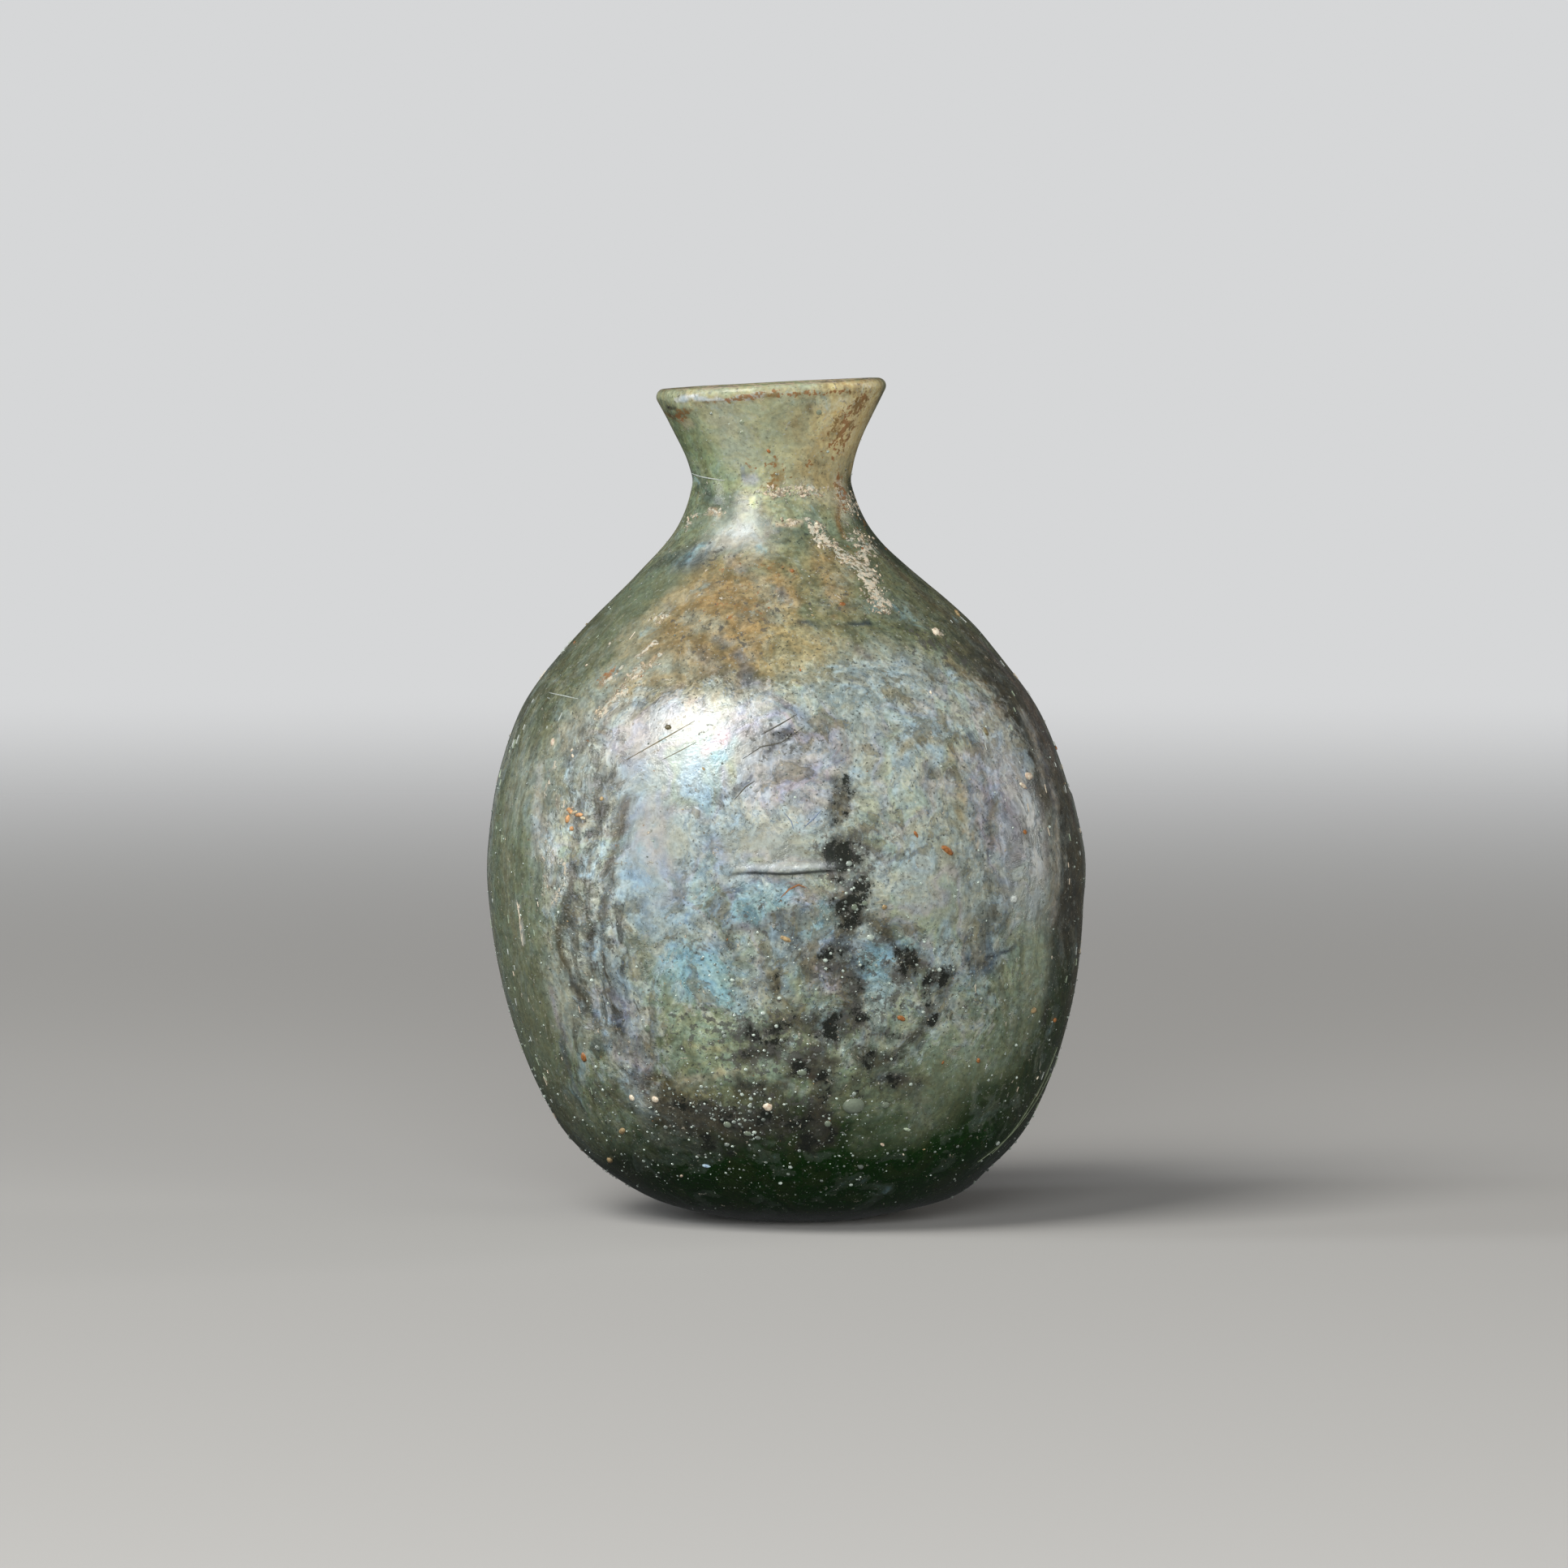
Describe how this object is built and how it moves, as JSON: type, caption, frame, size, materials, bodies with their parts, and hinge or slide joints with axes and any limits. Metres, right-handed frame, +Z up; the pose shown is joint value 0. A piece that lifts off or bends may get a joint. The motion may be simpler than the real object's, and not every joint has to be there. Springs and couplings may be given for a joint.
{
  "type": "glass flask",
  "caption": "Small free-blown glass flask with a pear-shaped body, a short waisted neck and a funnel mouth with a rounded lip, standing on a small flat spot under its rounded heel.",
  "frame": {"origin": "middle of the flat spot that the flask stands on", "axes": "+Z up through the mouth, -Y towards the face that the picture shows, +X to that face's right"},
  "size_m": [0.0718, 0.0706, 0.1007],
  "materials": {
    "glass": "pale green glass full of seed bubbles, under a patchy silver-blue weathering film with ochre stains"
  },
  "bodies": {
    "root": {"flask": "glass"}
  },
  "joints": []
}
